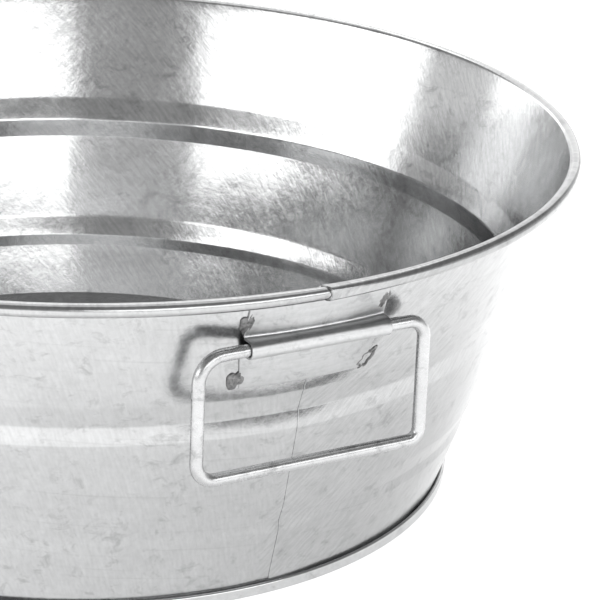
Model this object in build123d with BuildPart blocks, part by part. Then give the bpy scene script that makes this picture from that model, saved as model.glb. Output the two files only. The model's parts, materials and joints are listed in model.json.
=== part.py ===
# Round galvanized steel pan: a leaning sheet wall with a rolled rim and two swaged ridges, a sheet
# bottom held by a double seam, and two opposite drop handles of wire in bent straps.
# Millimetres, +Z up. The origin is on the pan's axis, in the plane that the pan stands on. The front
# handle faces -Y and lies over the wall's side seam. Heights are along Z, and "across" is along X,
# from the middle of the front handle.
from build123d import *
import math
import os

os.makedirs("parts", exist_ok=True)

# Pan
overall_height = 146.0
rim_radius = 206.0  # from the pan's axis to the middle of the rim wire
wall_angle = 19.2  # lean of the wall from upright, between the rim and the high ridge, degrees
sheet = 0.55
layer_gap = 0.05  # play between folded layers of sheet

# Rolled rim
rim_wire_diameter = 4.2
curl_sweep = 304.0  # how far the sheet wraps round the rim wire, degrees

# Swaged ridges: (radius, height) of the lower edge, of the crest and of the upper edge, where the
# high ridge's upper edge lies on the wall that comes down from the rim
low_ridge = ((167.0, 30.4), (167.6, 35.2), (171.4, 43.6))
high_ridge_low_edge = (182.5, 80.7)
high_ridge_crest = (183.3, 88.7)
high_ridge_top = 98.2
crest_bend = 1.5
ridge_edge_bend = 2.0
ridge_shoulder_bend = 14.0

# Side seam: the inner end of the wall sheet laps behind the outer end
lap_width = 10.0
lap_bottom = 11.0
lap_top = 139.0
lap_bite = 0.1  # how far the lap is let into the wall that it is joined to

# Bottom seam
foot_radius = 158.3
seam_top = 5.2  # where the wall starts to lean
floor_height = 9.0
fold_height = 3.9
wall_hook_top = 3.5
wall_bend_height = 1.6
bottom_hook_tip = 1.9
seam_corner = 0.6
floor_corner = 1.0

# Handle wire
handle_wire_diameter = 5.0
handle_right = 45.3
handle_left = -49.1
handle_drop = 48.5
handle_corners = (7.0, 4.5, 7.5, 10.0)  # upper right, lower right, lower left, upper left
wire_end_gap = 0.6

# Strap that holds a handle wire
strap_sheet = 0.8
strap_half_length = 29.25
strap_foot_half_length = 26.0
strap_bottom = 103.5
strap_top = 139.3
barrel_height = 123.5
barrel_play = 0.3
barrel_stand_off = 3.3  # wall surface to the wire's axis, in the middle of the strap
strap_clearance = 0.02

# Welds: across, height, width and height of each spot
weld_spots = (
    (-28.6, 136.0, 3.6, 8.0),
    (28.6, 136.0, 3.6, 8.0),
    (-28.2, 107.5, 6.0, 7.6),
    (28.2, 107.5, 5.6, 7.0),
)
weld_rise = 1.15

# Worked out
lean = math.radians(wall_angle)
layer = sheet + layer_gap
curl_radius = rim_wire_diameter / 2 + layer_gap + sheet / 2
rim_height = overall_height - curl_radius - sheet / 2
wall_top_height = rim_height + curl_radius * math.sin(lean)
wall_top_radius = rim_radius - curl_radius * math.cos(lean)


def wall_radius(height):
    """Radius of the middle of the wall sheet at a height above the high ridge."""
    return wall_top_radius - (wall_top_height - height) * math.tan(lean)


def wall_surface(height, out=0.0):
    """Radius of the wall's outer face at a height, moved out by a distance square to the face."""
    return wall_radius(height) + (sheet / 2 + out) / math.cos(lean)


def foot_wall_radius(height):
    """Radius of the middle of the wall sheet between the bottom seam and the low ridge."""
    low_radius, low_height = low_ridge[0]
    return foot_radius + (low_radius - foot_radius) * (height - seam_top) / (low_height - seam_top)


def wall_corners(start, end, inset=0.0):
    """Corners of the wall's side, from one height over both ridges to another, drawn in by an inset."""
    corners = [
        (foot_wall_radius(start), start),
        *low_ridge,
        high_ridge_low_edge,
        high_ridge_crest,
        (wall_radius(high_ridge_top), high_ridge_top),
        (wall_radius(end), end),
    ]
    return [(radius - inset, height) for radius, height in corners]


def radial_plane(angle):
    """Upright plane through the pan's axis, with its X pointing out, turned from -Y towards +X."""
    turn = math.radians(angle)
    out = (math.sin(turn), -math.cos(turn), 0)
    return Plane(origin=(0, 0, 0), x_dir=out, z_dir=(out[1], -out[0], 0))


def wall_plane(across, height):
    """Plane on the wall's outer face, square to it, at a place near the handle."""
    angle = math.degrees(math.asin(across / wall_surface(height)))
    upright = radial_plane(angle)
    out = upright.x_dir * math.cos(lean) - Vector(0, 0, math.sin(lean))
    return Plane(
        origin=upright.x_dir * wall_surface(height) + Vector(0, 0, height),
        x_dir=upright.z_dir * -1,
        z_dir=out,
    )


ridge_bends = [ridge_edge_bend, crest_bend, ridge_shoulder_bend]
barrel_radius = wall_surface(barrel_height) + barrel_stand_off
barrel_bore = handle_wire_diameter / 2 + barrel_play
barrel_outside = barrel_bore + strap_sheet
floor_line = floor_height - sheet / 2

# Wall: hooked foot, leaning side with both ridges, and the curl round the rim wire
with BuildPart() as body_wall:
    with BuildSketch(Plane.XZ):
        with BuildLine():
            Line((foot_radius + 2 * layer, wall_hook_top), (foot_radius + 2 * layer, wall_bend_height))
            ThreePointArc(
                (foot_radius + 2 * layer, wall_bend_height),
                (foot_radius + layer, wall_bend_height - layer),
                (foot_radius, wall_bend_height),
            )
            FilletPolyline(
                (foot_radius, wall_bend_height),
                *wall_corners(seam_top, wall_top_height),
                radius=[ridge_edge_bend] + ridge_bends + ridge_bends,
            )
            CenterArc((rim_radius, rim_height), curl_radius, 180 - wall_angle, -curl_sweep)
        trace(line_width=sheet)
    revolve(axis=Axis.Z)

    # Lap behind the side seam
    lap_turn = math.degrees(lap_width / foot_radius)
    lap_inset = (sheet - lap_bite) / math.cos(lean)
    with BuildSketch(radial_plane(0)):
        with BuildLine():
            FilletPolyline(*wall_corners(lap_bottom, lap_top, lap_inset), radius=ridge_bends + ridge_bends)
        trace(line_width=sheet)
    revolve(axis=Axis.Z, revolution_arc=lap_turn)
body_wall.part.label = "body_wall"
export_step(body_wall.part, "parts/body_wall.step")

# Bottom: a disc whose edge goes down inside the wall, out under it, up and over the wall's hook
with BuildPart() as bottom_pan:
    with BuildSketch(Plane.XZ):
        with BuildLine():
            Line((foot_radius + layer, bottom_hook_tip), (foot_radius + layer, fold_height))
            ThreePointArc(
                (foot_radius + layer, fold_height),
                (foot_radius + 2 * layer, fold_height + layer),
                (foot_radius + 3 * layer, fold_height),
            )
            FilletPolyline(
                (foot_radius + 3 * layer, fold_height),
                (foot_radius + 3 * layer, sheet / 2),
                (foot_radius - layer, sheet / 2),
                (foot_radius - layer, seam_top),
                (foot_wall_radius(floor_line) - layer / math.cos(lean), floor_line),
                (0, floor_line),
                radius=[seam_corner, seam_corner, floor_corner, floor_corner],
            )
        trace(line_width=sheet)
    revolve(axis=Axis.Z)
bottom_pan.part.label = "bottom_pan"
export_step(bottom_pan.part, "parts/bottom_pan.step")

# Wire inside the rolled rim
with BuildPart() as rim_wire:
    with BuildSketch(Plane.XZ):
        with Locations((rim_radius, rim_height)):
            Circle(rim_wire_diameter / 2)
    revolve(axis=Axis.Z)
rim_wire.part.label = "rim_wire"
export_step(rim_wire.part, "parts/rim_wire.step")

# Front handle: one wire bent into a rectangle, hanging from its upper run, ends meeting in the strap
with BuildPart() as front_handle_bail:
    handle_plane = Plane(origin=(0, -barrel_radius, barrel_height), x_dir=(1, 0, 0), z_dir=(0, -1, 0))
    with BuildLine(handle_plane):
        FilletPolyline(
            (wire_end_gap / 2, 0),
            (handle_right, 0),
            (handle_right, -handle_drop),
            (handle_left, -handle_drop),
            (handle_left, 0),
            (-wire_end_gap / 2, 0),
            radius=handle_corners,
        )
    with BuildSketch(Plane(origin=handle_plane.from_local_coords((wire_end_gap / 2, 0)), z_dir=(1, 0, 0))):
        Circle(handle_wire_diameter / 2)
    sweep()
front_handle_bail.part.label = "front_handle_bail"
export_step(front_handle_bail.part, "parts/front_handle_bail.step")

# Front strap: a barrel round the handle wire, open to the wall, with a flange above and one below
with BuildPart() as front_handle_strap:
    with BuildSketch(radial_plane(0)):
        for size, mode in ((barrel_outside, Mode.ADD), (barrel_bore, Mode.SUBTRACT)):
            with Locations((barrel_radius, barrel_height)):
                Circle(size, mode=mode)
                Rectangle(barrel_radius, 2 * size, align=(Align.MAX, Align.CENTER), mode=mode)
    extrude(amount=strap_half_length, both=True)
    with BuildSketch(Plane.XZ):
        Polygon(
            (0, strap_bottom),
            (wall_surface(strap_bottom, strap_clearance + strap_sheet / 2), strap_bottom),
            (wall_surface(strap_top, strap_clearance + strap_sheet / 2), strap_top),
            (0, strap_top),
            align=None,
        )
    revolve(axis=Axis.Z, mode=Mode.SUBTRACT)

    flange_turn = math.degrees(math.asin((strap_half_length + 2) / wall_surface(strap_bottom)))
    with BuildSketch(radial_plane(-flange_turn)):
        for low, high in (
            (strap_bottom, barrel_height - barrel_bore),
            (barrel_height + barrel_bore, strap_top),
        ):
            Polygon(
                (wall_surface(low, strap_clearance), low),
                (wall_surface(low, strap_clearance + strap_sheet), low),
                (wall_surface(high, strap_clearance + strap_sheet), high),
                (wall_surface(high, strap_clearance), high),
                align=None,
            )
    revolve(axis=Axis.Z, revolution_arc=2 * flange_turn)
    with BuildSketch(Plane.XZ):
        Polygon(
            (-strap_foot_half_length, strap_bottom),
            (strap_foot_half_length, strap_bottom),
            (strap_half_length, barrel_height - barrel_outside),
            (strap_half_length, strap_top),
            (-strap_half_length, strap_top),
            (-strap_half_length, barrel_height - barrel_outside),
            align=None,
        )
    extrude(amount=rim_radius, mode=Mode.INTERSECT)
front_handle_strap.part.label = "front_handle_strap"
export_step(front_handle_strap.part, "parts/front_handle_strap.step")

# Weld spots that join the front strap's corners to the wall
with BuildPart() as front_handle_welds:
    for across, height, width, tall in weld_spots:
        with BuildSketch(wall_plane(across, height)):
            Ellipse(width / 2, tall / 2)
        extrude(amount=weld_rise)
    add(front_handle_strap.part, mode=Mode.SUBTRACT)
front_handle_welds.part.label = "front_handle_welds"
export_step(front_handle_welds.part, "parts/front_handle_welds.step")

# Back handle: the same three pieces, half a turn round the pan
for front_piece, back_name in (
    (front_handle_bail, "back_handle_bail"),
    (front_handle_strap, "back_handle_strap"),
    (front_handle_welds, "back_handle_welds"),
):
    with BuildPart() as back_piece:
        add(front_piece.part, rotation=(0, 0, 180))
    back_piece.part.label = back_name
    export_step(back_piece.part, f"parts/{back_name}.step")
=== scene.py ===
# Looks of the galvanized drain pan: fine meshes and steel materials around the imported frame.
# Metres, +Z up, pan's axis through the origin, handle towards -Y. Azimuths turn from -Y to +X.
import json
import math
import random

import bmesh
import bpy
import numpy as np
from mathutils import Matrix, Quaternion, Vector


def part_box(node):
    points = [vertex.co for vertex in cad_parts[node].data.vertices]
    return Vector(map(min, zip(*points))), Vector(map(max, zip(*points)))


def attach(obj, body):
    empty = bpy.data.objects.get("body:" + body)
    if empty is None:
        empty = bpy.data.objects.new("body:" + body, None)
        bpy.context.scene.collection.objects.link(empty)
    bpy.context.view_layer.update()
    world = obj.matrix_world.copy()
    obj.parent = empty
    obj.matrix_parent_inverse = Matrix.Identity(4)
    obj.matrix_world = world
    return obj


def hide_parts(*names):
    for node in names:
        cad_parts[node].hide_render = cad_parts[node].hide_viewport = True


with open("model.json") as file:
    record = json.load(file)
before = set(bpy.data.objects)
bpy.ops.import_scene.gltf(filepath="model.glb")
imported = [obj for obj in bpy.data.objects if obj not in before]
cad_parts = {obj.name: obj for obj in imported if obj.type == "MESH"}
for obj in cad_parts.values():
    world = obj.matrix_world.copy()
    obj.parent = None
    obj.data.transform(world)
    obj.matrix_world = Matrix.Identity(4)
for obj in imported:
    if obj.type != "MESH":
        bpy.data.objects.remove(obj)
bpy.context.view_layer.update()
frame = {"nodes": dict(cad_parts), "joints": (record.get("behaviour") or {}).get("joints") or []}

MM = 0.001

# Sizes read from the frame
wire_low, wire_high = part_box("rim_wire")
bail_low, bail_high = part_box("front_handle_bail")
hinge = Vector(next(j for j in frame["joints"] if j["name"] == "front_handle_swing")["pos_m"])

# Pan
SHEET = 0.55 * MM
LAYER = 0.60 * MM
LEAN = math.radians(19.2)
RIM_HEIGHT = (wire_low.z + wire_high.z) / 2
RIM_WIRE_RADIUS = (wire_high.z - wire_low.z) / 2
RIM_RADIUS = 206.0 * MM
CURL_RADIUS = RIM_WIRE_RADIUS + (LAYER - SHEET) + SHEET / 2
CURL_SWEEP = math.radians(314)
WALL_TOP_RADIUS = RIM_RADIUS - CURL_RADIUS * math.cos(LEAN)
WALL_TOP_HEIGHT = RIM_HEIGHT + CURL_RADIUS * math.sin(LEAN)
FOOT_RADIUS = 158.3 * MM
SEAM_TOP = 5.2 * MM
LOW_RIDGE = ((167.0 * MM, 30.4 * MM), (167.6 * MM, 35.2 * MM), (171.4 * MM, 43.6 * MM))
HIGH_RIDGE_LOW_EDGE = (182.5 * MM, 80.7 * MM)
HIGH_RIDGE_CREST = (183.3 * MM, 88.7 * MM)
HIGH_RIDGE_TOP = 98.2 * MM
WALL_BENDS = (2 * MM, 2 * MM, 3 * MM, 14 * MM, 2 * MM, 4 * MM, 14 * MM)  # from the seam to the high ridge
FLOOR_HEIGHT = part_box("bottom_pan")[1].z

# Bottom seam
WALL_HOOK_TOP = 3.5 * MM
WALL_BEND_HEIGHT = 1.6 * MM
FOLD_HEIGHT = 3.9 * MM
BOTTOM_HOOK_TIP = 1.9 * MM
SEAM_CORNER = 0.6 * MM
FLOOR_CORNER = 1.0 * MM
CENTRE_RADIUS = 0.01 * MM  # where the bottom's columns meet

# Handle
BAIL_WIRE_RADIUS = (bail_high.y - bail_low.y) / 2
BARREL_BORE = BAIL_WIRE_RADIUS + 0.3 * MM
STRAP_SHEET = 0.8 * MM
STRAP_LIFT = 0.02 * MM
STRAP_HALF = 29.25 * MM
STRAP_FOOT_HALF = 26.0 * MM
STRAP_BOTTOM = 103.5 * MM
STRAP_TOP = 139.3 * MM
STRAP_BEND = 1.1 * MM
STRAP_NARROWS = 4 * MM  # how far below the hinge the strap starts to narrow
HANDLE_CORNERS = (7 * MM, 4.5 * MM, 7.5 * MM, 10 * MM)
WIRE_END_X = 0.3 * MM


def wall_radius(height):
    """Radius of the middle of the wall sheet at a height above the high ridge."""
    return WALL_TOP_RADIUS - (WALL_TOP_HEIGHT - height) * math.tan(LEAN)


def rounded(points, radii, step=math.radians(8), longest=4 * MM):
    """Points along a line whose inner corners are rounded; straight runs are cut to a length."""
    points = [np.array(p, float) for p in points]
    path = [points[0]]
    for before, corner, after, radius in zip(points, points[1:], points[2:], radii):
        into = (corner - before) / np.linalg.norm(corner - before)
        out = (after - corner) / np.linalg.norm(after - corner)
        turn = math.atan2(into[0] * out[1] - into[1] * out[0], float(into @ out))
        start = corner - into * radius * math.tan(abs(turn) / 2)
        side = math.copysign(1.0, turn)
        middle = start + side * radius * np.array([-into[1], into[0]])
        steps = max(3, int(abs(turn) / step) + 1)
        for i in range(steps + 1):
            angle = turn * i / steps
            arm = start - middle
            spun = np.array([
                arm[0] * math.cos(angle) - arm[1] * math.sin(angle),
                arm[0] * math.sin(angle) + arm[1] * math.cos(angle),
            ])
            path.append(middle + spun)
    path.append(points[-1])
    full = [path[0]]
    for point in path[1:]:
        gap = np.linalg.norm(point - full[-1])
        if gap < 1e-7:
            continue
        cuts = int(gap / longest) + 1
        start = full[-1]
        full += [start + (point - start) * i / cuts for i in range(1, cuts + 1)]
    return np.array(full)


def arc(middle, radius, start, sweep, steps):
    """Points on an arc, from a start angle through a sweep."""
    angles = [start + sweep * i / steps for i in range(steps + 1)]
    return np.array([(middle[0] + radius * math.cos(a), middle[1] + radius * math.sin(a)) for a in angles])


def thickened(path, thickness):
    """Closed outline of a sheet whose middle line is the path."""
    along = np.gradient(path, axis=0)
    along /= np.linalg.norm(along, axis=1)[:, None]
    square = np.stack([-along[:, 1], along[:, 0]], axis=1) * thickness / 2
    return np.concatenate([path + square, (path - square)[::-1]])


def grid_mesh(name, rows, closed_rows=True, closed_columns=True):
    """Object from a grid of points, shape (rows, columns, 3), joined round where asked."""
    n, m = rows.shape[:2]
    faces = []
    for i in range(n if closed_rows else n - 1):
        for j in range(m if closed_columns else m - 1):
            a, b = i, (i + 1) % n
            c, d = j, (j + 1) % m
            faces.append((a * m + c, a * m + d, b * m + d, b * m + c))
    if not closed_rows:
        faces.append(tuple(range(m))[::-1])
        faces.append(tuple((n - 1) * m + j for j in range(m)))
    mesh = bpy.data.meshes.new(name)
    mesh.from_pydata(rows.reshape(-1, 3).tolist(), [], faces)
    mesh.update()
    thing = bpy.data.objects.new(name, mesh)
    bpy.context.scene.collection.objects.link(thing)
    mesh.shade_smooth()
    return thing


# ---------------------------------------------------------------- mesh shapes

SEAM_AZIMUTH_TOP = math.radians(-0.4)
SEAM_AZIMUTH_FOOT = math.radians(2.4)
SEAM_REACH = math.radians(14)  # how far round the pan the columns lean with the seam
WALL_WAVE = 0.1 * MM
LAP_STEP = 0.4 * MM
LAP_FADE = 24 * MM
LAP_END = 2 * MM  # how far below the top of the wall the lap ends
RIM_JOINT_RISE = 0.7 * MM
RIM_JOINT_FADE = 16 * MM
RIM_JOINT_GROOVE = 0.5 * MM
RIM_JOINT_GROOVE_WIDTH = 0.5 * MM
RIM_JOINT_POINT = 1.6 * MM
BOX_MARGIN = 0.05 * MM  # the uneven rim stays this far inside the CAD model's box
COLUMNS = 480  # round the bottom


def seam_azimuths():
    """Column azimuths round the pan, crowded on both sides of the side seam at azimuth 0."""
    near = np.radians([
        0.004, 0.02, 0.05, 0.09, 0.14, 0.2, 0.3, 0.42, 0.6, 0.8, 1.1, 1.5, 2.0, 2.6, 3.3, 4.1, 5.0,
    ])
    plain = np.linspace(math.radians(5.8), math.radians(354.2), 466)
    return np.array([*near, *plain, *(2 * math.pi - near[::-1])])


def waviness(azimuths, heights, seed, size):
    """Gentle unevenness of rolled sheet: a sum of seeded waves, round the pan and up it."""
    draw = random.Random(seed)
    total = np.zeros((len(azimuths), len(heights)))
    for count in range(3, 40, 3):
        phase, drift, weight = draw.uniform(0, 6.28), draw.uniform(-25, 25), draw.uniform(0.4, 1.0)
        wave = np.sin(count * azimuths[:, None] + drift * heights[None, :] / 0.1 * 0.4 + phase)
        total += wave * weight / math.sqrt(count)
    return total * size


def revolved(name, turn, radius, height):
    """Outline turned round Z; azimuths, radii and heights are grids that broadcast together."""
    turn, radius, height = np.broadcast_arrays(turn, radius, height)
    return grid_mesh(name, np.stack([radius * np.sin(turn), -radius * np.cos(turn), height], axis=2))


def wall_path():
    """Middle line of the wall sheet from the hooked foot to the end of the curl."""
    hook = np.array([(FOOT_RADIUS + 2 * LAYER, WALL_HOOK_TOP)])
    bend = arc((FOOT_RADIUS + LAYER, WALL_BEND_HEIGHT), LAYER, 0, -math.pi, 8)
    corners = [
        (FOOT_RADIUS, WALL_BEND_HEIGHT),
        (FOOT_RADIUS, SEAM_TOP),
        *LOW_RIDGE,
        HIGH_RIDGE_LOW_EDGE,
        HIGH_RIDGE_CREST,
        (wall_radius(HIGH_RIDGE_TOP), HIGH_RIDGE_TOP),
        (WALL_TOP_RADIUS, WALL_TOP_HEIGHT),
    ]
    side = rounded(corners, WALL_BENDS)
    curl = arc((RIM_RADIUS, RIM_HEIGHT), CURL_RADIUS, math.pi - LEAN, -CURL_SWEEP, 40)
    return np.concatenate([hook, bend, side[1:-1], curl])


def make_wall():
    """Wall sheet with its hooked foot, ridges, side seam and the curl round the rim wire."""
    outline = thickened(wall_path(), SHEET)
    azimuths = seam_azimuths()
    signed = (azimuths + math.pi) % (2 * math.pi) - math.pi
    radius, height = outline[:, 0], outline[:, 1]
    from_wire = np.stack([radius - RIM_RADIUS, height - RIM_HEIGHT])
    reach = np.hypot(*from_wire)
    in_curl = reach < CURL_RADIUS + SHEET

    # The seam leans, and its end at the rim comes to a point: columns near it turn with it
    share = np.clip((height - SEAM_TOP) / (WALL_TOP_HEIGHT - SEAM_TOP), 0, 1)
    lean = SEAM_AZIMUTH_FOOT + (SEAM_AZIMUTH_TOP - SEAM_AZIMUTH_FOOT) * share
    lean = lean + in_curl * RIM_JOINT_POINT / RIM_RADIUS * from_wire[0] / reach
    twist = lean[None, :] * np.exp(-(signed[:, None] / SEAM_REACH) ** 2)

    # Lap at the seam: the sheet on the right lies over the one on the left and eases back
    shift = waviness(azimuths, height, 7, WALL_WAVE)
    along = signed[:, None] * radius[None, :]
    right = (signed > 0)[:, None]
    below_rim = (height < WALL_TOP_HEIGHT - LAP_END) & (height > SEAM_TOP)
    shift = shift + LAP_STEP * right * np.exp(-(along / LAP_FADE) ** 2) * below_rim

    # Rim joint: the curl is thicker on its right than on its left, where a groove runs along it
    swell = RIM_JOINT_RISE * (right - 0.5) * np.exp(-np.abs(along) / RIM_JOINT_FADE)
    groove = RIM_JOINT_GROOVE * ~right * np.exp(-(along / RIM_JOINT_GROOVE_WIDTH) ** 2)
    grown = (swell - groove) * in_curl / reach
    most = CURL_RADIUS + SHEET / 2 - BOX_MARGIN
    return revolved(
        "wall_sheet",
        azimuths[:, None] + twist,
        np.minimum(radius + shift + grown * from_wire[0], RIM_RADIUS + most),
        np.minimum(height + grown * from_wire[1], RIM_HEIGHT + most),
    )


def make_bottom():
    """Bottom sheet, with its edge folded under and round the wall's foot."""
    outer, inner = FOOT_RADIUS + 3 * LAYER, FOOT_RADIUS - LAYER
    share = (FLOOR_HEIGHT - SEAM_TOP) / (LOW_RIDGE[0][1] - SEAM_TOP)
    floor_radius = inner + (LOW_RIDGE[0][0] - FOOT_RADIUS) * share
    tip = np.array([(FOOT_RADIUS + LAYER, BOTTOM_HOOK_TIP)])
    fold = arc((FOOT_RADIUS + 2 * LAYER, FOLD_HEIGHT), LAYER, math.pi, -math.pi, 8)
    corners = [
        (outer, FOLD_HEIGHT),
        (outer, SHEET / 2),
        (inner, SHEET / 2),
        (inner, SEAM_TOP),
        (floor_radius, FLOOR_HEIGHT - SHEET / 2),
        (CENTRE_RADIUS, FLOOR_HEIGHT - SHEET / 2),
    ]
    path = rounded(corners, (SEAM_CORNER, SEAM_CORNER, FLOOR_CORNER, FLOOR_CORNER))
    outline = thickened(np.concatenate([tip, fold[:-1], path]), SHEET)
    azimuths = np.linspace(0, 2 * math.pi, COLUMNS + 1)[:-1, None]
    return revolved("bottom_sheet", azimuths, outline[:, 0], outline[:, 1])


def make_bail():
    """Round wire bent into the handle's rectangle, its ends meeting inside the strap."""
    left, right = bail_low.x + BAIL_WIRE_RADIUS, bail_high.x - BAIL_WIRE_RADIUS
    drop = (bail_high.z - bail_low.z) - 2 * BAIL_WIRE_RADIUS
    path = rounded(
        [(WIRE_END_X, 0), (right, 0), (right, -drop), (left, -drop), (left, 0), (-WIRE_END_X, 0)],
        HANDLE_CORNERS,
        step=math.radians(6),
        longest=3 * MM,
    )
    along = np.gradient(path, axis=0)
    along /= np.linalg.norm(along, axis=1)[:, None]
    square = np.stack([-along[:, 1], along[:, 0]], axis=1)
    sides = 32
    rows = []
    for point, out in zip(path, square):
        ring = []
        for k in range(sides):
            angle = 2 * math.pi * k / sides
            across = BAIL_WIRE_RADIUS * math.cos(angle)
            ring.append((hinge.x + point[0] + out[0] * across,
                         hinge.y - BAIL_WIRE_RADIUS * math.sin(angle),
                         hinge.z + point[1] + out[1] * across))
        rows.append(ring)
    return grid_mesh("front_wire", np.array(rows), closed_rows=False)


def strap_path(across):
    """Middle line of the strap's flanges and barrel as (out from the axis, height), at a distance across."""
    lift = (SHEET / 2 + STRAP_LIFT + STRAP_SHEET / 2) / math.cos(LEAN)

    def flange(height):
        return math.sqrt((wall_radius(height) + lift) ** 2 - across ** 2), height

    middle_out, middle_up = -hinge.y, hinge.z
    ring = BARREL_BORE + STRAP_SHEET / 2
    top, bottom = middle_up + ring, middle_up - ring
    upper = rounded([flange(STRAP_TOP), flange(top), (middle_out, top)], [STRAP_BEND],
                    step=math.radians(10), longest=2 * MM)
    around = arc((middle_out, middle_up), ring, math.pi / 2, -math.pi, 20)
    lower = rounded([(middle_out, bottom), flange(bottom), flange(STRAP_BOTTOM)], [STRAP_BEND],
                    step=math.radians(10), longest=2 * MM)
    return upper, around, lower


def make_strap():
    """Bent strap: each cross line follows the wall, the barrel stays straight."""
    rows = []
    for share in np.linspace(-1, 1, 61):
        across = share * STRAP_HALF
        parts = strap_path(across)
        fixed = [resampled(part, count) for part, count in zip(parts, (26, 24, 26))]
        path = np.concatenate([fixed[0][:-1], fixed[1], fixed[2][1:]])
        outline = thickened(path, STRAP_SHEET)
        narrows = hinge.z - STRAP_NARROWS
        narrow = np.clip((narrows - outline[:, 1]) / (narrows - STRAP_BOTTOM), 0, 1)
        x = share * (STRAP_HALF + (STRAP_FOOT_HALF - STRAP_HALF) * narrow)
        rows.append(np.stack([hinge.x + x, -outline[:, 0], outline[:, 1]], axis=1))
    strap = grid_mesh("front_strap", np.array(rows), closed_rows=False)
    edges = strap.modifiers.new("edges", "BEVEL")
    edges.width = 0.12 * MM
    edges.segments = 2
    edges.limit_method = "ANGLE"
    edges.angle_limit = math.radians(50)
    return strap


def resampled(path, count):
    """The same line with a fixed number of evenly spaced points."""
    run = np.concatenate([[0], np.cumsum(np.linalg.norm(np.diff(path, axis=0), axis=1))])
    at = np.linspace(0, run[-1], count)
    return np.stack([np.interp(at, run, path[:, k]) for k in range(2)], axis=1)


WELD_SPOTS = (  # across, height, width, height of the spot, tilt in degrees, share that is sunk
    (-28.6, 133.6, 5.2, 11.0, -10, 0.0),
    (27.6, 133.8, 5.2, 10.6, -14, 0.0),
    (-28.4, 107.6, 6.4, 8.6, 0, 0.0),
    (27.4, 107.0, 6.0, 10.0, -30, 0.72),
)
WELD_RISE = 1.3 * MM
WELD_SINK = 0.3 * MM
WELD_SIDES = 48
WELD_RINGS = 12


def weld_patch(across, height, width, tall, tilt, sunk, draw):
    """Rows of points of one rough spot of weld metal, lying on the wall and over the strap's corner."""
    turn = math.radians(tilt)
    waves = [(k, draw.uniform(0, 6.28), draw.uniform(0.02, 0.11)) for k in range(2, 9)]
    rows = []
    for i in range(WELD_SIDES):
        angle = 2 * math.pi * i / WELD_SIDES
        edge = 1 + sum(size * math.sin(k * angle + phase) for k, phase, size in waves)
        row = []
        for j in range(WELD_RINGS * 3 // 2 + 1):  # out over the top, then part of the way back below it
            share = min(j, 2 * WELD_RINGS - j) / WELD_RINGS
            lift = -WELD_SINK
            if j <= WELD_RINGS and share >= sunk:
                pits = sum(size * math.sin(k * 1.7 * angle + 9 * share + phase) for k, phase, size in waves)
                dome = math.sqrt(1 - share ** 2 * 0.98)
                lift = WELD_RISE * (dome * (0.72 + 0.5 * pits * share) + 0.1 * share)
            u, v = width / 2 * share * edge * math.cos(angle), tall / 2 * share * edge * math.sin(angle)
            x = across + u * math.cos(turn) - v * math.sin(turn)
            z = height + (u * math.sin(turn) + v * math.cos(turn)) * math.cos(LEAN)
            radius = wall_radius(z) + SHEET / 2 / math.cos(LEAN) + lift * math.cos(LEAN)
            row.append((x, -math.sqrt(radius ** 2 - x ** 2), z - lift * math.sin(LEAN)))
        rows.append(row)
    return np.array(rows)


def make_welds():
    """All the weld spots of one strap, as one piece."""
    draw = random.Random(21)
    welds = []
    for across, height, width, tall, tilt, sunk in WELD_SPOTS:
        rows = weld_patch(across * MM, height * MM, width * MM, tall * MM, tilt, sunk, draw)
        welds.append(grid_mesh("weld", rows, closed_columns=False))
    whole = bmesh.new()
    for weld in welds:
        whole.from_mesh(weld.data)
        bpy.data.objects.remove(weld)
    bmesh.ops.remove_doubles(whole, verts=whole.verts, dist=0.001 * MM)
    mesh = bpy.data.meshes.new("front_welds")
    whole.to_mesh(mesh)
    whole.free()
    mesh.shade_smooth()
    piece = bpy.data.objects.new("front_welds", mesh)
    bpy.context.scene.collection.objects.link(piece)
    return piece


# ---------------------------------------------------------------- materials

WALL_MEAN_RADIUS = 183 * MM
STEEL_TINT = (0.56, 0.564, 0.567)
STRAP_TINT = (0.47, 0.474, 0.477)
WIRE_TINT = (0.44, 0.443, 0.446)
WELD_TINT = (0.2, 0.2, 0.2)
HIDDEN_WIRE_TINT = (0.45, 0.45, 0.45)
DARK_BAND_MIDDLE = 0.075  # the darkest part of the darker band, metres round the wall from the side seam
DARK_BAND_EDGE = 0.02
DARK_BAND_REACH = 0.26
DARK_BAND_TONE = 0.70
# painted shade: the rim roll's colour is darkened so that it reflects the bright stage less
RIM_ROLL_SHADE_TONE = 0.8
LIP_HEIGHT = hinge.z + BARREL_BORE + STRAP_SHEET  # where the strap's upper flange meets its barrel
# painted shade: how dark the top of the strap's barrel is under the lip
SHELF_SHADE_TONE = 0.55
# painted highlight: how much brighter the upper flange is right at the lip
LIP_HIGHLIGHT_TONE = 2.75


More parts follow.
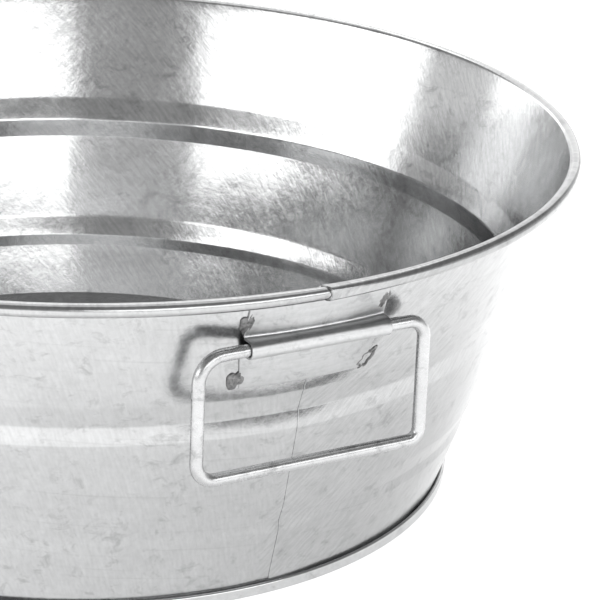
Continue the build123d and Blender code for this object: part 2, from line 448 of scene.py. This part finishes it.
class Graph:
    """A metal material and short calls that add nodes to it."""

    def __init__(self, name, roughness):
        self.material = bpy.data.materials.new(name)
        self.material.use_nodes = True
        self.nodes = self.material.node_tree.nodes
        self.links = self.material.node_tree.links
        self.shader = self.nodes["Principled BSDF"]
        self.shader.inputs["Metallic"].default_value = 1.0
        self.shader.inputs["Roughness"].default_value = roughness
        self.place = self.add("ShaderNodeTexCoord").outputs["Object"]

    def add(self, kind, **values):
        node = self.nodes.new(kind)
        for key, value in values.items():
            self.feed(node.inputs[key.replace("_", " ")], value)
        return node

    def feed(self, socket, value):
        if isinstance(value, bpy.types.NodeSocket):
            self.links.new(value, socket)
        else:
            socket.default_value = value

    def math(self, operation, first, second=0.0, clamp=False):
        node = self.nodes.new("ShaderNodeMath")
        node.operation = operation
        node.use_clamp = clamp
        self.feed(node.inputs[0], first)
        self.feed(node.inputs[1], second)
        return node.outputs["Value"]

    def ranged(self, value, low, high, to_low=0.0, to_high=1.0):
        node = self.add("ShaderNodeMapRange", Value=value, From_Min=low, From_Max=high,
                        To_Min=to_low, To_Max=to_high)
        return node.outputs["Result"]

    def toned(self, noise, dark, light):
        """A noise, whose values lie mostly between 0.3 and 0.7, spread between two values."""
        return self.ranged(noise, 0.3, 0.7, dark, light)

    def stretched(self, vector, scale, turn=0.0):
        """Coordinates turned about Z and then scaled, so that noise on them is drawn out."""
        turned = self.add("ShaderNodeMapping", Vector=vector, Rotation=(0, 0, math.radians(turn)))
        return self.add("ShaderNodeMapping", Vector=turned.outputs["Vector"], Scale=scale).outputs["Vector"]

    def noise(self, vector, scale, detail=3.0, rough=0.55, distortion=0.0):
        node = self.add("ShaderNodeTexNoise", Vector=vector, Scale=scale, Detail=detail, Roughness=rough,
                        Distortion=distortion)
        return node.outputs["Fac"]

    def unrolled(self):
        """Metres round the wall from the side seam, and height, as if the wall lay flat."""
        split = self.add("ShaderNodeSeparateXYZ", Vector=self.place)
        x_squared = self.math("MULTIPLY", split.outputs["X"], split.outputs["X"])
        y_squared = self.math("MULTIPLY", split.outputs["Y"], split.outputs["Y"])
        self.from_axis = self.math("SQRT", self.math("ADD", x_squared, y_squared))
        back = self.math("MULTIPLY", split.outputs["Y"], -1.0)
        azimuth = self.math("ARCTAN2", split.outputs["X"], back)
        self.around = self.math("MULTIPLY", azimuth, WALL_MEAN_RADIUS)
        return self.add("ShaderNodeCombineXYZ", X=self.around, Y=split.outputs["Z"]).outputs["Vector"]

    def spot(self, middle, radius, edge):
        """1 inside a ball and 0 outside it, with an uneven edge."""
        apart = self.nodes.new("ShaderNodeVectorMath")
        apart.operation = "DISTANCE"
        self.feed(apart.inputs[0], self.place)
        apart.inputs[1].default_value = middle
        ragged = self.toned(self.noise(self.place, 700), -edge, edge)
        return self.ranged(self.math("ADD", apart.outputs["Value"], ragged), radius + edge, radius - edge)

    def colour(self, tint, *tones):
        """Base colour is the tint times every tone."""
        tone = tones[0]
        for other in tones[1:]:
            tone = self.math("MULTIPLY", tone, other)
        mix = self.nodes.new("ShaderNodeVectorMath")
        mix.operation = "SCALE"
        mix.inputs[0].default_value = tint
        self.feed(mix.inputs["Scale"], tone)
        self.links.new(mix.outputs["Vector"], self.shader.inputs["Base Color"])

    def rough(self, value):
        self.links.new(value, self.shader.inputs["Roughness"])

    def bump(self, *reliefs):
        """Surface relief as (height from 0 to 1, depth in metres) pairs."""
        total = 0.0
        for height, depth in reliefs:
            total = self.math("ADD", total, self.math("MULTIPLY", height, depth / MM))
        node = self.add("ShaderNodeBump", Height=total, Strength=1.0, Distance=MM)
        self.links.new(node.outputs["Normal"], self.shader.inputs["Normal"])


def smudges(graph, vector, scale, amount):
    """Sparse dark scuffs with ragged edges, as a tone that multiplies the colour."""
    shape = graph.noise(vector, scale, detail=7, rough=0.72, distortion=0.6)
    where = graph.noise(vector, scale / 4, detail=2)
    both = graph.math("ADD", graph.math("MULTIPLY", shape, 0.75), graph.math("MULTIPLY", where, 0.25))
    return graph.ranged(both, 0.535, 0.64, 1.0, 1.0 - amount)


def streaks(graph, flat):
    """Fine close rolling marks: leaning back left of the side seam and forward right of it."""
    left = graph.noise(graph.stretched(flat, (850, 150, 1), -16), 1, detail=2)
    right = graph.noise(graph.stretched(flat, (850, 110, 1), 44), 1, detail=2)
    right = graph.math("ADD", graph.math("MULTIPLY", right, 2.2), -0.6)
    side = graph.ranged(graph.around, -0.001, 0.001)
    gap = graph.math("MULTIPLY", graph.math("SUBTRACT", right, left), side)
    return graph.math("ADD", left, gap)


def sheet_steel():
    """Galvanized wall sheet: rolling marks, frosty zinc, scuffs, a darker band round the wall beside the
    side seam, the rim roll darkened as painted shade, and heat tint beside the front strap."""
    graph = Graph("galvanized sheet", 0.2)
    flat = graph.unrolled()
    rolled = streaks(graph, flat)
    frost = graph.noise(graph.place, 420, detail=4, rough=0.6)
    cloud = graph.noise(graph.place, 45, detail=5, rough=0.6)
    lines = graph.noise(graph.stretched(flat, (9, 620, 1), 5), 1, detail=3, rough=0.6)
    scuffs = smudges(graph, graph.stretched(flat, (1, 1.35, 1), 0), 130, 0.22)
    tint = graph.spot(TINT_SPOT, 3.6 * MM, 0.5 * MM)
    from_dark_band = graph.math("ABSOLUTE", graph.math("SUBTRACT", graph.around, DARK_BAND_MIDDLE))
    graph.colour(
        STEEL_TINT,
        # darker colour in a band round the wall, centred beside the side seam
        graph.ranged(from_dark_band, DARK_BAND_EDGE, DARK_BAND_REACH, DARK_BAND_TONE, 1.0),
        # painted shade on the rim roll
        graph.ranged(graph.from_axis, RIM_RADIUS - 3 * MM, RIM_RADIUS - 1.5 * MM, 1.0, RIM_ROLL_SHADE_TONE),
        graph.toned(frost, 0.955, 1.035),
        graph.toned(cloud, 0.95, 1.04),
        graph.toned(rolled, 0.94, 1.04),
        graph.ranged(lines, 0.58, 0.72, 1.0, 0.92),
        scuffs,
        graph.ranged(tint, 0, 1, 1.0, 0.55),
    )
    patchy = graph.ranged(cloud, 0.35, 0.65, 0, 0.05)
    graph.rough(graph.math("ADD", graph.toned(frost, 0.15, 0.20), patchy))
    graph.bump((rolled, 0.007 * MM), (frost, 0.022 * MM), (cloud, 0.20 * MM))
    return graph.material


def bottom_steel():
    """Galvanized bottom sheet."""
    graph = Graph("galvanized bottom", 0.24)
    frost = graph.noise(graph.place, 380, detail=4, rough=0.6)
    cloud = graph.noise(graph.place, 40, detail=5, rough=0.6)
    graph.colour(STEEL_TINT, graph.toned(frost, 0.94, 1.03), graph.toned(cloud, 0.92, 1.03),
                 smudges(graph, graph.place, 110, 0.2))
    graph.rough(graph.toned(frost, 0.13, 0.2))
    graph.bump((frost, 0.02 * MM), (cloud, 0.10 * MM))
    return graph.material


def strap_steel():
    """Galvanized strap: dull frost, scuffs along the barrel, painted shade on the top of the barrel under
    the lip and a painted highlight on the flange just above the lip.
    """
    graph = Graph("galvanized strap", 0.26)
    frost = graph.noise(graph.place, 520, detail=5, rough=0.62)
    cloud = graph.noise(graph.place, 90, detail=4, rough=0.6)
    drawn = graph.noise(graph.stretched(graph.place, (60, 900, 900)), 1, detail=3)
    height = graph.add("ShaderNodeSeparateXYZ", Vector=graph.place).outputs["Z"]
    # painted shade on the top of the barrel, just under the lip
    shelf = graph.ranged(height, LIP_HEIGHT - 1.9 * MM, LIP_HEIGHT - 1.3 * MM, 1.0, SHELF_SHADE_TONE)
    # painted highlight: the upper flange brightens towards the lip, against the barrel's dark reflection;
    # higher up it undoes the shelf's painted shade (carried by zinc)
    above = graph.ranged(height, LIP_HEIGHT + 0.1 * MM, LIP_HEIGHT + 0.5 * MM, 0.0, 1.0)
    bend = graph.ranged(height, LIP_HEIGHT + 0.5 * MM, LIP_HEIGHT + 6.5 * MM, LIP_HIGHLIGHT_TONE, 1.0 / SHELF_SHADE_TONE)
    zinc = graph.math("ADD", 1.0, graph.math("MULTIPLY", above, graph.math("SUBTRACT", bend, 1.0)))
    graph.colour(
        STRAP_TINT,
        graph.toned(frost, 0.9, 1.05),
        graph.toned(cloud, 0.93, 1.04),
        graph.ranged(drawn, 0.35, 0.7, 1.02, 0.93),
        smudges(graph, graph.place, 170, 0.25),
        shelf,
        zinc,
    )
    graph.rough(graph.toned(frost, 0.36, 0.48))
    graph.bump((frost, 0.045 * MM), (cloud, 0.08 * MM), (drawn, 0.02 * MM))
    return graph.material


def wire_steel():
    """Galvanized handle wire: smooth zinc with frost, cloudy tone and a few dark scuffs."""
    graph = Graph("galvanized wire", 0.24)
    frost = graph.noise(graph.place, 480, detail=4, rough=0.6)
    cloud = graph.noise(graph.place, 70, detail=4, rough=0.6)
    graph.colour(WIRE_TINT, graph.toned(frost, 0.93, 1.05), graph.toned(cloud, 0.92, 1.05),
                 smudges(graph, graph.place, 200, 0.3))
    graph.rough(graph.toned(frost, 0.2, 0.32))
    graph.bump((frost, 0.025 * MM), (cloud, 0.09 * MM))
    return graph.material


def weld_steel():
    """Dull dark weld metal, pitted and smoky."""
    graph = Graph("weld metal", 0.45)
    coarse = graph.noise(graph.place, 900, detail=5, rough=0.7)
    cloud = graph.noise(graph.place, 260, detail=3)
    graph.colour(WELD_TINT, graph.ranged(coarse, 0.35, 0.65, 0.45, 1.35), graph.toned(cloud, 0.6, 1.4))
    graph.rough(graph.toned(coarse, 0.35, 0.6))
    graph.bump((coarse, 0.25 * MM))
    return graph.material


def drawn_steel():
    """Plain drawn wire, hidden in the rim."""
    graph = Graph("drawn wire", 0.35)
    grain = graph.noise(graph.place, 300, detail=3)
    graph.colour(HIDDEN_WIRE_TINT, graph.toned(grain, 0.9, 1.1))
    return graph.material


def on_wall(across, height):
    """Point on the wall's outer face near the front handle."""
    radius = wall_radius(height) + SHEET / 2 / math.cos(LEAN)
    return Vector((across, -math.sqrt(radius ** 2 - across ** 2), height))


TINT_SPOT = on_wall(34.1 * MM, 128 * MM)

# ---------------------------------------------------------------- pieces

def turned_copy(piece, name):
    """The same piece, half a turn round the pan."""
    copy = piece.copy()
    copy.name = name
    copy.data = piece.data.copy()
    copy.data.transform(Matrix.Rotation(math.pi, 4, "Z"))
    bpy.context.scene.collection.objects.link(copy)
    return copy


def dress(piece, material, body, replaced):
    """Give a piece its material and its body, and hide the CAD node that it stands for."""
    piece.data.materials.clear()
    piece.data.materials.append(material)
    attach(piece, body)
    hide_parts(replaced)


dress(make_wall(), sheet_steel(), "pan", "body_wall")
dress(make_bottom(), bottom_steel(), "pan", "bottom_pan")
strap_metal, wire_metal, weld_metal = strap_steel(), wire_steel(), weld_steel()
front = make_strap(), make_bail(), make_welds()
back = [turned_copy(piece, piece.name.replace("front", "back")) for piece in front]
for side, (strap, bail, welds) in (("front", front), ("back", back)):
    dress(strap, strap_metal, "pan", side + "_handle_strap")
    dress(bail, wire_metal, side + "_handle", side + "_handle_bail")
    dress(welds, weld_metal, "pan", side + "_handle_welds")
rim_wire = frame["nodes"]["rim_wire"].data
rim_wire.materials.clear()
rim_wire.materials.append(drawn_steel())

# ---------------------------------------------------------------- camera, floor and light

CAMERA_AZIMUTH = math.radians(-25.9)
CAMERA_ELEVATION = math.radians(17.95)
CAMERA_DISTANCE = 1.193
CAMERA_TURN = math.radians(-4.47)
CAMERA_TILT = math.radians(-3.37)
CAMERA_ROLL = math.radians(-0.88)
CAMERA_LENS = 171.2
FLOOR_REACH = 8.0
FLOOR_GLOW_NEAR = (0.22, 0.72)  # distance from the pan's axis and strength of the glow there
FLOOR_GLOW_FAR = (0.36, 1.3)
WORLD_LEVELS = (  # height on the world's sphere and brightness there
    (0.01, 1.1),
    (0.18, 1.0),
    (0.27, 0.5),
    (0.5, 0.35),
    (0.99, 0.35),
)
SOFTBOXES = (  # name, azimuth, elevation, distance, width, height, radiance
    ("overhead", 180, 76, 2.3, 3.0, 2.4, 1.05),
    ("high_back", 180, 52, 2.5, 2.6, 0.6, 2.1),
    ("backdrop", 180, 28, 2.7, 3.6, 1.6, 1.25),
    ("right", 32, 20.5, 2.4, 2.5, 0.75, 3.0),
    ("left", -66, 20.5, 2.4, 2.75, 0.75, 3.0),
    ("far_left", -145, 12, 2.4, 1.6, 0.6, 2.2),
)


def direction(azimuth, elevation):
    return Vector((math.sin(azimuth) * math.cos(elevation), -math.cos(azimuth) * math.cos(elevation),
                   math.sin(elevation)))


def place_camera():
    """Camera on a line from the pan's rim, then turned, tilted and rolled to frame it off centre."""
    away = direction(CAMERA_AZIMUTH, CAMERA_ELEVATION)
    forward = -away
    right = forward.cross(Vector((0, 0, 1))).normalized()
    up = right.cross(forward)
    for axis_name, angle in (("up", CAMERA_TURN), ("right", CAMERA_TILT), ("forward", CAMERA_ROLL)):
        axis = {"up": up, "right": right, "forward": forward}[axis_name].copy()
        spin = Quaternion(axis, angle)
        forward, right, up = spin @ forward, spin @ right, spin @ up
    data = bpy.data.cameras.new("camera")
    data.lens = CAMERA_LENS
    data.sensor_width = 36.0
    data.clip_start = 0.01
    camera = bpy.data.objects.new("camera", data)
    bpy.context.scene.collection.objects.link(camera)
    matrix = camera.matrix_world.to_3x3()
    matrix.col[0], matrix.col[1], matrix.col[2] = right, up, -forward
    camera.matrix_world = matrix.to_4x4()
    camera.location = Vector((0, 0, RIM_HEIGHT)) + away * CAMERA_DISTANCE
    bpy.context.scene.camera = camera


def softbox(name, azimuth, elevation, distance, width, height, radiance):
    """Area light facing the pan; azimuth is counted from the camera's side."""
    data = bpy.data.lights.new(name, "AREA")
    data.shape = "RECTANGLE"
    data.size, data.size_y = width, height
    data.energy = radiance * math.pi * width * height
    light = bpy.data.objects.new(name, data)
    bpy.context.scene.collection.objects.link(light)
    toward = direction(CAMERA_AZIMUTH + math.radians(azimuth), math.radians(elevation))
    light.location = toward * distance
    light.rotation_euler = toward.to_track_quat("Z", "Y").to_euler()


def make_floor():
    """Plain pale floor that glows like a light table: painted light, dimmer beside the pan as painted shade
    and brighter further out, where it washes out the pan's shadow.
    """
    mesh = bpy.data.meshes.new("floor")
    corners = [(x * FLOOR_REACH, y * FLOOR_REACH, 0) for x, y in ((-1, -1), (1, -1), (1, 1), (-1, 1))]
    mesh.from_pydata(corners, [], [(0, 1, 2, 3)])
    floor = bpy.data.objects.new("floor", mesh)
    bpy.context.scene.collection.objects.link(floor)
    material = bpy.data.materials.new("floor")
    material.use_nodes = True
    shader = material.node_tree.nodes["Principled BSDF"]
    shader.inputs["Base Color"].default_value = (0.8, 0.8, 0.8, 1)
    shader.inputs["Roughness"].default_value = 0.9
    shader.inputs["Specular IOR Level"].default_value = 0.0
    nodes, links = material.node_tree.nodes, material.node_tree.links
    place = nodes.new("ShaderNodeTexCoord")
    away = nodes.new("ShaderNodeVectorMath")
    away.operation = "LENGTH"
    links.new(place.outputs["Object"], away.inputs[0])
    # painted light: the floor's glow grows with distance from the pan's axis
    glow = nodes.new("ShaderNodeMapRange")
    glow.inputs["From Min"].default_value, glow.inputs["To Min"].default_value = FLOOR_GLOW_NEAR
    glow.inputs["From Max"].default_value, glow.inputs["To Max"].default_value = FLOOR_GLOW_FAR
    links.new(away.outputs["Value"], glow.inputs["Value"])
    links.new(glow.outputs["Result"], shader.inputs["Emission Strength"])
    shader.inputs["Emission Color"].default_value = (1, 1, 1, 1)
    mesh.materials.append(material)


def make_world():
    """Studio walls: pale near the horizon and dimmer higher up."""
    world = bpy.data.worlds.new("studio")
    bpy.context.scene.world = world
    world.use_nodes = True
    nodes, links = world.node_tree.nodes, world.node_tree.links
    place = nodes.new("ShaderNodeTexCoord")
    split = nodes.new("ShaderNodeSeparateXYZ")
    links.new(place.outputs["Generated"], split.inputs["Vector"])
    ramp = nodes.new("ShaderNodeValToRGB")
    stops = ramp.color_ramp.elements
    for position, level in WORLD_LEVELS:
        stop = stops.new(position)
        stop.color = (level, level, level, 1)
    stops.remove(stops[0])
    stops.remove(stops[-1])
    links.new(split.outputs["Z"], ramp.inputs["Fac"])
    links.new(ramp.outputs["Color"], nodes["Background"].inputs["Color"])


bpy.context.scene.view_settings.view_transform = "Standard"
place_camera()
make_floor()
make_world()
for placing in SOFTBOXES:
    softbox(*placing)
